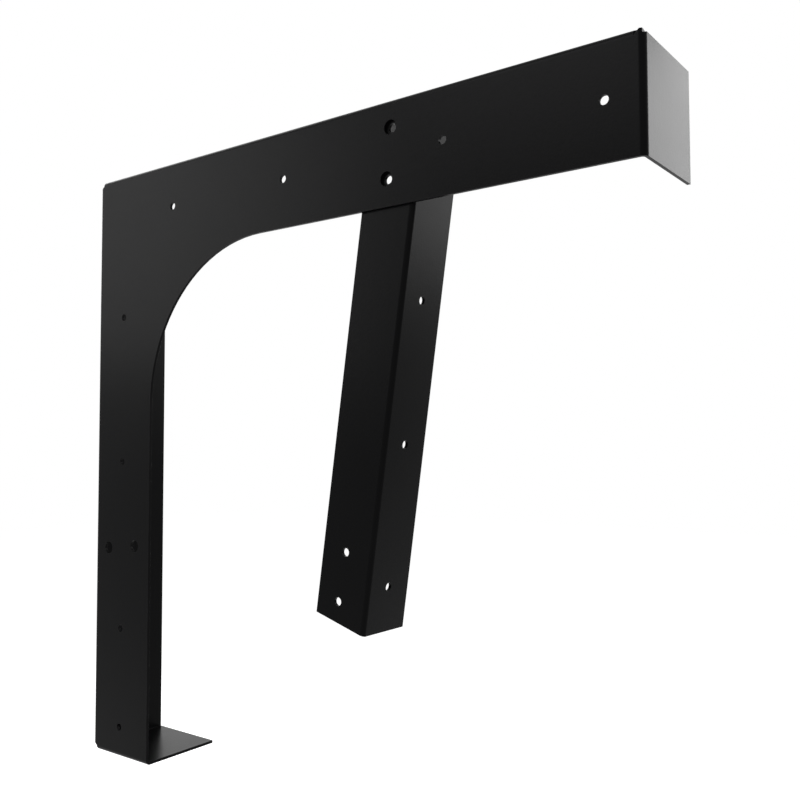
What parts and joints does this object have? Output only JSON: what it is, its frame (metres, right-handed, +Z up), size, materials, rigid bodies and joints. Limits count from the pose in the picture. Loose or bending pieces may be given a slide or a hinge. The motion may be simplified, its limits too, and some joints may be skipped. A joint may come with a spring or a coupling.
{
  "type": "vanity support bracket",
  "caption": "Folded sheet-metal L bracket that carries a vanity counter from the wall, with a slanted angle bar behind its arm for a sloping knee panel.",
  "frame": {"origin": "middle of the wall flange's back face, halfway up the bracket", "axes": "+X out from the wall along the arm, +Y from the side plate towards the free edges of its flanges, +Z up"},
  "size_m": [0.569, 0.0815, 0.56],
  "materials": {
    "bracket_sheet": "black powder coat",
    "angle_sheet": "black powder coat"
  },
  "bodies": {
    "root": {"main_bracket": "bracket_sheet", "slanted_angle": "angle_sheet"}
  },
  "joints": []
}
